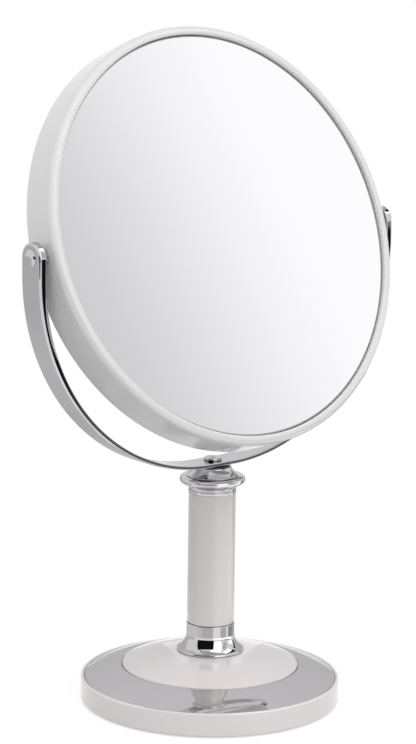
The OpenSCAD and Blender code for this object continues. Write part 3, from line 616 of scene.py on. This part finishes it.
# %% Guide cup, the lower half of the cap
CUP_BEAD, CUP_FLARE, CUP_SEAT, NECK_H, NECK_GAP = 2.0, 3.0, 5.62, 1.6, 0.5
NECK_SKIRT, BEAD_FLAT, TUBE_GAP = 0.15, 0.3, 0.3
cup_r, cup_low, cup_top = upright_size("guide_cup")
tube_r, tube_low, tube_top = upright_size("inner_tube")
neck_r, bead_x = sleeve_r + NECK_SKIRT, cup_r - CUP_BEAD
bead_z = cup_top - CUP_BEAD + BEAD_FLAT
bead_top = bead_x + math.sqrt(CUP_BEAD ** 2 - (cup_top - bead_z) ** 2)
flare_low = sleeve_top + NECK_H + NECK_GAP
cup = turned("column_cup", rounded(
    [(core_seat, cup_low, 0.1), (spigot_r, cup_low, 0.2), (spigot_r, sleeve_top, 0.1),
     (neck_r, sleeve_top, 0.3), (neck_r, sleeve_top + NECK_H, 0.4),
     (neck_r - NECK_GAP, sleeve_top + NECK_H, 0.05), (neck_r - NECK_GAP, flare_low, 0.05)]
    + bow((neck_r, flare_low), (bead_x, bead_z - CUP_BEAD), CUP_FLARE)
    + bow((bead_x, bead_z - CUP_BEAD), (bead_top, cup_top), -CUP_BEAD)[1:]
    + [(tube_r + TUBE_GAP, cup_top, 0.2), (tube_r + TUBE_GAP, cup_low + CUP_SEAT, 0.05),
       (core_seat, cup_low + CUP_SEAT, 0.05)]), steps=256)
stand_for(cup, "guide_cup", "base", chrome)

# %% Head cone, the upper half of the cap
cone_foot, cone_low, cone_top = upright_size("head_cone")
CONE_TOP_W, CONE_FLARE, WEB_T, SCREW_HOLE_R = 3.75, 9.0, 1.8, 2.2
FOOT_H, FLARE_IN, FLARE_UP, TOP_H = 0.4, 0.35, 0.42, 0.2
cone_top_r, tube_seat = tube_r + CONE_TOP_W, tube_r + HAIR
cone = turned("post_cone", rounded(
    [(tube_seat, cone_low, 0.1), (cone_foot, cone_low, 0.12),
     (cone_foot, cone_low + FOOT_H, 0.2)]
    + bow((cone_foot - FLARE_IN, cone_low + FLARE_UP), (cone_top_r, cone_top - TOP_H), CONE_FLARE)
    + [(cone_top_r, cone_top, 0.08), (SCREW_HOLE_R, cone_top, 0.1),
       (SCREW_HOLE_R, cone_top - WEB_T, 0.1), (tube_seat, cone_top - WEB_T, 0.1)]), steps=256)
stand_for(cone, "head_cone", "post", chrome)

# %% Sliding tube
TUBE_T = 1.0
tube = turned("post_tube", rounded([
    (tube_r, tube_low, 0.2), (tube_r, tube_top, 0.1), (tube_r - TUBE_T, tube_top, 0.1),
    (tube_r - TUBE_T, tube_low, 0.2)]), steps=128)
stand_for(tube, "inner_tube", "post", slide_chrome)

# %% [markdown]
# ## The yoke
#
# The yoke is one band of metal, thick at the arms and drawn thinner at its seat, with softly
# rounded long edges and half-round ends about the pivots. We carry a closed section along it.
# The section is a rounded rectangle in (depth, width); along the band its depth runs from the
# outer line to the inner line. At each arm's end the same section is turned through a quarter
# about the pivot, so that its two halves meet on one line and the end closes as a half disc.

# %% Section and path of the band
ARM_T, SEAT_T, SEAT_HALF, EDGE_SHARE = 4.2, 2.0, 7.3, 0.27
yoke_low, yoke_high = (np.array(corner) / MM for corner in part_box("yoke"))
half_span, half_width = yoke_high[0], yoke_high[1]
arc_r = half_span - SEAT_HALF
arc_z, arc_in_z = yoke_low[2] + arc_r, yoke_low[2] + SEAT_T + arc_r - ARM_T

edge = EDGE_SHARE * ARM_T
section = rounded([(0, half_width, edge), (ARM_T, half_width, edge * 0.7),
                   (ARM_T, 0, 0), (ARM_T, -half_width, edge * 0.7),
                   (0, -half_width, edge), (0, 0, 0)], steps=8)
depth_share, width_at = section[:, 0] / ARM_T, section[:, 1]

quarter = np.linspace(0, np.pi / 2, 97)[1:]
drop = np.linspace(PIVOT[2], arc_z, 7)
seat = np.linspace(SEAT_HALF, 0, 4)[1:]
outer = np.concatenate([
    np.stack([0 * drop + half_span, drop], 1),
    np.stack([SEAT_HALF + arc_r * np.cos(quarter), arc_z - arc_r * np.sin(quarter)], 1),
    np.stack([seat, 0 * seat + yoke_low[2]], 1)])
inner = np.concatenate([
    np.stack([0 * drop + half_span - ARM_T,
              PIVOT[2] + (drop - PIVOT[2]) * (PIVOT[2] - arc_in_z) / (PIVOT[2] - arc_z)], 1),
    np.stack([SEAT_HALF + (arc_r - ARM_T) * np.cos(quarter),
              arc_in_z - (arc_r - ARM_T) * np.sin(quarter)], 1),
    np.stack([seat, 0 * seat + yoke_low[2] + SEAT_T], 1)])
print("band path:", len(outer), "stations on each side,", len(section), "points round")

# %% The band and its rounded ends
def band(outer, inner, ends=14):
    """Grid of the yoke: point(t, s) = O(t) + depth(s) (I(t) - O(t)), width(s) along Y.

    Beyond the last station, a quarter turn by angle f about the pivot takes width v to
    (v cos f, |v| sin f), so that the two halves meet at f = 90 degrees.
    """
    line = outer[:, None] + (inner - outer)[:, None] * depth_share[None, :, None]
    side = np.stack([line[..., 0], np.broadcast_to(width_at, line.shape[:2]), line[..., 1]], -1)
    f = np.linspace(np.pi / 2, 0, ends)[:-1, None]
    x = half_span - depth_share * ARM_T + 0 * f
    cap = np.stack([x, width_at * np.cos(f), PIVOT[2] + np.abs(width_at) * np.sin(f)], -1)
    half = np.concatenate([cap, side])
    other = half[::-1][1:] * np.array([-1, 1, 1])
    return np.concatenate([half, other])


yoke = skin("yoke_band", band(outer, inner), closed_rows=False)
stand_for(yoke, "yoke", "yoke", chrome)

# %% Screw that holds the band
SOCKET_W, SOCKET_DEPTH, SOCKET_RIM, SHAFT_R, SCREW_ROUND = 4.0, 0.7, 0.5, 2.0, 0.45
MOUTH, FOOT = 0.06, 0.03      # bevels where the socket opens and where it ends
screw_r, screw_tip, screw_top = upright_size("yoke_screw")
head_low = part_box("yoke_washer")[1].z / MM


def socket_screw(steps=96):
    """Grid of the screw: radius r(s) outside the socket, and in it the hexagon's own radius,
    r(a) = half its width / cos(a - nearest multiple of 60 degrees)."""
    outside = rounded([(0, screw_tip), (SHAFT_R, screw_tip, 0.3), (SHAFT_R, head_low, 0.1),
                       (screw_r, head_low, 0.15), (screw_r, screw_top, SCREW_ROUND),
                       (SOCKET_W / 2 + SOCKET_RIM, screw_top)], steps=8)
    bottom = screw_top - SOCKET_DEPTH
    inside = np.array([(1 + MOUTH, screw_top), (1, screw_top - MOUTH), (1, bottom + FOOT),
                       (1 - FOOT, bottom), (0, bottom)])
    a = np.linspace(0, 2 * np.pi, steps, endpoint=False)
    hexagon = SOCKET_W / 2 / np.cos((a + np.pi / 6) % (np.pi / 3) - np.pi / 6)
    r = np.concatenate([outside[:, :1] + 0 * a, inside[:, :1] * hexagon])
    h = np.concatenate([outside[:, 1:], inside[:, 1:]]) + 0 * a
    return np.stack([r * np.cos(a), r * np.sin(a), h], -1)


screw = skin("yoke_socket_screw", socket_screw(), closed_rows=False)
stand_for(screw, "yoke_screw", "post", screw_satin)

# %% [markdown]
# ## Pivots
#
# Each arm carries a pin with a domed head outside and a spacer inside, between the arm and the
# frame. They are turned surfaces again, only about the X axis, so the turning function gets a
# frame whose third axis points along X.

# %% Pins and spacers
HEAD_R, HEAD_H, PIN_R, EDGE_H, DOME_IN, DOME_UP = 4.2, 1.3, 2.5, 0.25, 0.25, 0.45
swell_r = (HEAD_R ** 2 + HEAD_H ** 2) / (2 * HEAD_H)
for side, word in ((-1, "left"), (1, "right")):
    along = (PIVOT, np.stack([[0, 0, -1.0], [0, side, 0], [side, 0, 0]], 1))
    low, high = (np.array(corner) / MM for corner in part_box(f"pivot_pin_{word}"))
    inside, outside = np.sort(np.abs([low[0], high[0]]))
    under = outside - HEAD_H
    pin = turned(f"pivot_pin_turned_{word}", rounded(
        [(0, inside), (PIN_R, inside, 0.4), (PIN_R, under, 0.05), (HEAD_R, under, 0.12),
         (HEAD_R - HAIR, under + EDGE_H, 0.1)]
        + bow((HEAD_R - DOME_IN, under + DOME_UP), (0, outside - 1.5 * HAIR), -swell_r, 10)),
        along, steps=96, solid=True)
    stand_for(pin, f"pivot_pin_{word}", "yoke", chrome)
    low, high = (np.array(corner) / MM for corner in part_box(f"pivot_spacer_{word}"))
    inside, outside = np.sort(np.abs([low[0], high[0]]))
    spacer = turned(f"pivot_spacer_turned_{word}", rounded([
        (high[1], inside, 0.3), (high[1], outside, 0.3), (PIN_R + HAIR, outside, 0.1),
        (PIN_R + HAIR, inside, 0.1)]), along, steps=96)
    stand_for(spacer, f"pivot_spacer_{word}", "yoke", chrome)

# %% [markdown]
# ## The head
#
# The frame is one moulded ring with a soft front edge and two inner flanges. The flat glass
# lies behind its lip, and the curved magnifying glass is held from behind by a bezel. All are
# turned about the normal of the glass. The glasses get a small arris all round, because a cut
# edge is ground, and that arris catches the light as a fine line.

# %% White frame
frame_r, frame_back, frame_front = head_size("head_frame")
frame_r -= HAIR
GLASS_GAP, TAPE_T, WALL, FLANGE_W, FLANGE_T = 0.2, 0.4, 2.5, 9.4, 2.0
lip_in, seat_w = glass_r + GLASS_GAP, glass_back - TAPE_T
bore_r, flange_r = frame_r - WALL, frame_r - FLANGE_W
ring_frame = turned("head_white_frame", rounded([
    (frame_r, frame_back, 2.2), (frame_r, frame_front, 3.2), (lip_in, frame_front, 1.0),
    (lip_in, seat_w, 0.1), (flange_r, seat_w, 0.3), (flange_r, seat_w - FLANGE_T, 0.3),
    (bore_r, seat_w - FLANGE_T, 0.4), (bore_r, FLANGE_T - seat_w, 0.4),
    (flange_r, FLANGE_T - seat_w, 0.3), (flange_r, -seat_w, 0.3), (bore_r, -seat_w, 0.1),
    (bore_r, frame_back, 0.25)], steps=10), HEAD, steps=320)
stand_for(ring_frame, "head_frame", "head", white_gloss)

# %% Rear bezel
bezel_r, bezel_back, bezel_front = head_size("rear_bezel")
BEZEL_W, SKIRT_T, BEZEL_T = 6.2, 2.8, 2.0
bezel_in, skirt_r = bore_r - BEZEL_W, bore_r - SKIRT_T
bezel = turned("head_rear_bezel", rounded([
    (bezel_in, bezel_back, 1.2), (bezel_r, bezel_back, 0.25), (bezel_r, bezel_front, 0.1),
    (skirt_r, bezel_front, 0.1), (skirt_r, bezel_back + BEZEL_T, 0.1),
    (bezel_in, bezel_back + BEZEL_T, 0.3)]), HEAD, steps=320)
stand_for(bezel, "rear_bezel", "head", white_gloss)

# %% Front glass
flat_glass = turned("head_flat_glass", rounded([
    (0, glass_back), (glass_r, glass_back, 0.3), (glass_r, glass_front, 0.45),
    (0, glass_front)]), HEAD, steps=320, solid=True)
stand_for(flat_glass, "front_glass", "head", edged)

# %% Rear glass, curved for magnification
REAR_T, CURVE_R, ARC_IN, ARC_UP = 2.0, 1200.0, 0.5, 0.03
rear_r, rear_back, rear_front = head_size("rear_glass")
deep = CURVE_R - math.sqrt(CURVE_R ** 2 - rear_r ** 2)
curved_glass = turned("head_curved_glass", rounded(
    [(0, rear_back + deep)]
    + bow((ARC_IN, rear_back + deep), (rear_r - ARC_IN, rear_back + ARC_UP), CURVE_R, 40)
    + [(rear_r, rear_back, 0.2), (rear_r, rear_back + REAR_T, 0.2)]
    + bow((rear_r - ARC_IN, rear_back + REAR_T + ARC_UP), (ARC_IN, rear_front), -CURVE_R, 40)
    + [(0, rear_front)]), HEAD, steps=320, solid=True)
stand_for(curved_glass, "rear_glass", "head", mirror)

# %% [markdown]
# ## Pieces that keep their CAD shape
#
# Bolts, washers, bushes, the weight and the seals are already the right shape, with their
# holes and recesses, so their nodes stay. They only need their finish, which replaces the
# plain colour in the node's first material slot.

# %% Finishes of the CAD nodes
FINISHES = {
    "bottom_cover": cover_plastic, "cover_screws": steel, "base_weight": cast_iron,
    "stem_bolt": steel, "stem_bolt_washer": steel, "core_tube": steel, "core_plug": steel,
    "guide_bush": nylon, "slide_ring": nylon, "tube_plug": steel, "swivel_washer": nylon,
    "yoke_washer": chrome, "friction_washer_left": nylon, "friction_washer_right": nylon,
    "front_tape": foam, "rear_gasket": foam, "backing_board": board,
    "pivot_bush_left": brass, "pivot_bush_right": brass}
for name, material in FINISHES.items():
    for slot in frame["nodes"][name].material_slots:
        slot.material = material
print(len(FINISHES), "CAD nodes finished")

# %% [markdown]
# ## Studio
#
# A white room with soft light: the world is white to the camera, and to metal and glass too,
# but it lights the object gently. Four soft lamps, above, low in front, at the right and at
# the left, model the shapes. The floor is white plastic sheet that keeps the object's shadow.
# Chrome needs something dark to show, so cards stand round the set, with two small grey walls
# behind the base, and mats lie on the floor in rings round the column. One black mat hangs
# above the base like an awning, for the collar alone: it is clear from above. Only reflections
# see them. Their places are given round the column, in degrees to the right of the camera.

# %% World
def seen_whole(tree):
    """One where the camera looks, straight, in metal or through glass; zero for plain light."""
    path = node(tree, "LightPath")
    straight = node(tree, "Math", {0: path.outputs["Is Camera Ray"],
                                   1: path.outputs["Is Glossy Ray"]}, operation="MAXIMUM")
    return node(tree, "Math", {0: straight, 1: path.outputs["Is Transmission Ray"]},
                operation="MAXIMUM")


FILL_LIGHT, FLOOR_GREY, FLOOR_GLOW = 0.52, 0.5, 0.64
WHITE = (1, 1, 1, 1)
world = bpy.data.worlds.new("studio")
bpy.context.scene.world = world
world.use_nodes = True
tree = world.node_tree
room = node(tree, "Background", {"Color": WHITE, "Strength": 1.0})
fill = node(tree, "Background", {"Color": WHITE, "Strength": FILL_LIGHT})
both = node(tree, "MixShader", {0: seen_whole(tree), 1: fill, 2: room})
tree.links.new(both.outputs["Shader"], tree.nodes["World Output"].inputs["Surface"])

# %% Floor, which fades to the white of the room between two distances
NEAR_M, FAR_M, HALF_M = 0.34, 0.75, 4
floor_mesh = bpy.data.meshes.new("floor")
floor_mesh.from_pydata([(-HALF_M, -HALF_M, 0), (HALF_M, -HALF_M, 0), (HALF_M, HALF_M, 0),
                        (-HALF_M, HALF_M, 0)], [], [(0, 1, 2, 3)])
floor = bpy.data.objects.new("floor", floor_mesh)
bpy.context.scene.collection.objects.link(floor)
sheet = bpy.data.materials.new("floor_sheet")
sheet.use_nodes = True
tree = sheet.node_tree
matt = node(tree, "BsdfDiffuse", {"Color": (FLOOR_GREY,) * 3 + (1,)})
glow = node(tree, "Emission", {"Color": WHITE, "Strength": FLOOR_GLOW})
lit = node(tree, "AddShader", {0: matt, 1: glow})
far = node(tree, "Emission", {"Color": WHITE, "Strength": 1.0})
away = node(tree, "VectorMath", {0: node(tree, "TexCoord").outputs["Object"]},
            operation="LENGTH")
fade = node(tree, "MapRange", {"Value": away.outputs["Value"], "From Min": NEAR_M,
                               "From Max": FAR_M}, interpolation_type="SMOOTHSTEP")
sweep = node(tree, "MixShader", {0: fade, 1: lit, 2: far})
kept = node(tree, "MixShader", {0: seen_whole(tree), 1: matt, 2: sweep})
tree.links.new(kept.outputs["Shader"], tree.nodes["Material Output"].inputs["Surface"])
floor.data.materials.append(sheet)

# %% Lamps
def soft_lamp(name, place, aim, size, power):
    """A square white area lamp at place, turned towards aim; metres and watts."""
    data = bpy.data.lights.new(name, "AREA")
    data.shape, data.size, data.energy = "SQUARE", size, power
    lamp = bpy.data.objects.new(name, data)
    bpy.context.scene.collection.objects.link(lamp)
    lamp.rotation_mode = "QUATERNION"
    lamp.rotation_quaternion = (Vector(aim) - Vector(place)).to_track_quat("-Z", "Y")
    lamp.location = place
    lamp.visible_glossy = False
    return lamp


def from_camera(azimuth, elevation, distance, height=0.15):
    """A place round the column, by degrees to the right of the camera's own azimuth."""
    a, e = AZIMUTH + math.radians(azimuth), math.radians(elevation)
    return (distance * math.sin(a) * math.cos(e), -distance * math.cos(a) * math.cos(e),
            height + distance * math.sin(e))


middle = (0, 0, 0.15)
lamps = [soft_lamp("key_lamp", from_camera(-15, 52, 1.7), middle, 1.2, 8.0),
         soft_lamp("front_lamp", from_camera(38, 4, 1.6), middle, 0.8, 5.0),
         soft_lamp("right_lamp", from_camera(80, 50, 1.6), middle, 0.9, 5.2),
         soft_lamp("left_lamp", from_camera(-95, 20, 1.6), middle, 0.7, 2.6)]
print("lamps:", [lamp.name for lamp in lamps])

# %% Cards that only reflections see
CARD_TINT = (1, 0.995, 1, 1)


def emitter(name, points, shades, ramp, outwards=False, from_below=False):
    """A flat shape that only reflections see, at its own origin.

    Its brightness is one shade, or goes from one to another along X or outwards from the
    origin. It can be clear from above, so that only what lies under it sees it.
    """
    first, last = shades if isinstance(shades, tuple) else (shades, shades)
    data = bpy.data.meshes.new(name)
    data.from_pydata(points, [], [tuple(range(len(points)))])
    made = bpy.data.objects.new(name, data)
    bpy.context.scene.collection.objects.link(made)
    paint = bpy.data.materials.new(name)
    paint.use_nodes = True
    tree = paint.node_tree
    tree.nodes.clear()
    place = node(tree, "TexCoord").outputs["Object"]
    along = (node(tree, "VectorMath", {0: place}, operation="LENGTH").outputs["Value"] if outwards
             else node(tree, "SeparateXYZ", {0: place}).outputs["X"])
    shade = node(tree, "MapRange", {"Value": along, "From Min": ramp[0], "From Max": ramp[1],
                                    "To Min": first, "To Max": last},
                 interpolation_type="SMOOTHSTEP")
    seen = node(tree, "Emission", {"Color": CARD_TINT, "Strength": shade})
    if from_below:
        seen = node(tree, "MixShader", {0: node(tree, "NewGeometry").outputs["Backfacing"],
                                        1: node(tree, "BsdfTransparent"), 2: seen})
    node(tree, "OutputMaterial", {"Surface": seen})
    paint.cycles.emission_sampling = "NONE"
    data.materials.append(paint)
    made.visible_camera = made.visible_diffuse = made.visible_shadow = False
    return made


def card(name, place, aim, width, height, shades, ramp=(-1.0, 1.0)):
    """A rectangle that faces aim."""
    w, h = width / 2, height / 2
    made = emitter(name, [(-w, -h, 0), (w, -h, 0), (w, h, 0), (-w, h, 0)], shades, ramp)
    made.rotation_mode = "QUATERNION"
    made.rotation_quaternion = (Vector(aim) - Vector(place)).to_track_quat("Z", "Y")
    made.location = place
    return made


def panel(name, azimuths, elevations, shade, distance=1.3, height=0.08):
    """A card that fills a range of azimuths and elevations as seen from the column."""
    a, e = sum(azimuths) / 2, sum(elevations) / 2
    width, tall = (2 * distance * math.tan(math.radians((v[1] - v[0]) / 2))
                   for v in (azimuths, elevations))
    place = from_camera(a, e, distance, height)
    return card(name, place, (0, 0, height), width, tall, shade)


def mat(name, azimuths, reach, shades, ramp=(0.0, 1.0), height=0.001, from_below=False):
    """A level sector of a ring, whose shade can change over a range of reach."""
    turn = np.linspace(*azimuths, 24)
    points = ([from_camera(a, 0, reach[1], height) for a in turn]
              + [from_camera(a, 0, reach[0], height) for a in turn[::-1]])
    return emitter(name, points, shades, ramp, outwards=True, from_below=from_below)


glass_middle = Vector(glass_middle)
mirrored = Vector((0.637, -0.6745, 0.373))      # where the camera looks after the flat glass
to_camera = Vector(from_camera(0, 0, 1, 0))
left_wall = Vector(from_camera(-132, 0, 0.128, 0.075))
right_wall = Vector(from_camera(137, 0, 0.118, 0.075))
BLACK = 0.01
COLLAR_GREYS = (((-150, -60), 0.88), ((-60, -36), 0.80), ((-36, 12), 0.67), ((48, 78), 0.66),
                ((92, 122), 0.40), ((122, 150), 0.64))
cards = [
    # the soft shading over the flat glass
    card("glass_card", glass_middle + 1.3 * mirrored, glass_middle, 1.0, 0.9, (1.07, 0.66),
         (-0.10, 0.19)),
    # black and white in the flares of the collar and the cap
    panel("left_black_flag", (-60, 16), (-3, 17), BLACK),
    mat("black_awning", (-60, 16), (0.079, 0.33), BLACK, height=0.12, from_below=True),
    panel("front_strip_light", (18, 55), (1, 70), 1.8),
    panel("right_strip_light", (92, 116), (38, 62), 1.8),
    panel("right_low_strip", (92, 116), (1, 16), 1.8, height=0.03),
    panel("right_black_flag", (117, 141), (1, 29), BLACK, 0.2, 0.03),
    panel("right_tall_flag", (117, 131), (34, 64), BLACK),
    # an even grey in the conical ring
    panel("rear_grey_ceiling", (140, 220), (38, 82), 0.72, 1.6, 0.0155),
    card("rear_left_wall", left_wall, left_wall + to_camera, 0.13, 0.115, 0.72),
    card("rear_right_wall", right_wall, right_wall + to_camera, 0.10, 0.115, 0.72),
    # the bright side of the sleeve, and the stripes in the straight part of the collar
    mat("column_bright_mat", (16, 115), (0.15, 0.41), 1.9),
    mat("collar_bright_mat", (16, 44), (0.105, 0.148), 1.15),
    *(mat(f"collar_grey_mat_{n}", turns, (0.105, 0.148), shade)
      for n, (turns, shade) in enumerate(COLLAR_GREYS)),
    # grey sides and black front edges of the yoke
    mat("arm_grey_mat", (-138, -76), (0.16, 2.6), (0.76, 0.68), (0.25, 0.7)),
    mat("arm_light_mat", (-160, -138), (0.16, 2.6), 0.80),
    mat("edge_black_mat", (64, 98), (0.48, 1.68), (0.15, BLACK), (0.6, 0.85)),
    mat("left_edge_mat", (64, 79), (1.68, 2.6), BLACK),
    mat("right_edge_mat", (79, 98), (1.68, 2.6), 0.35),
    mat("outline_dark_mat", (182, 206), (0.6, 2.6), 0.2)]
print("cards:", [made.name for made in cards])

# %% [markdown]
# ## Settings
#
# The last cell sets the scene's view transform to Standard.

# %% Settings
bpy.context.scene.view_settings.view_transform = "Standard"
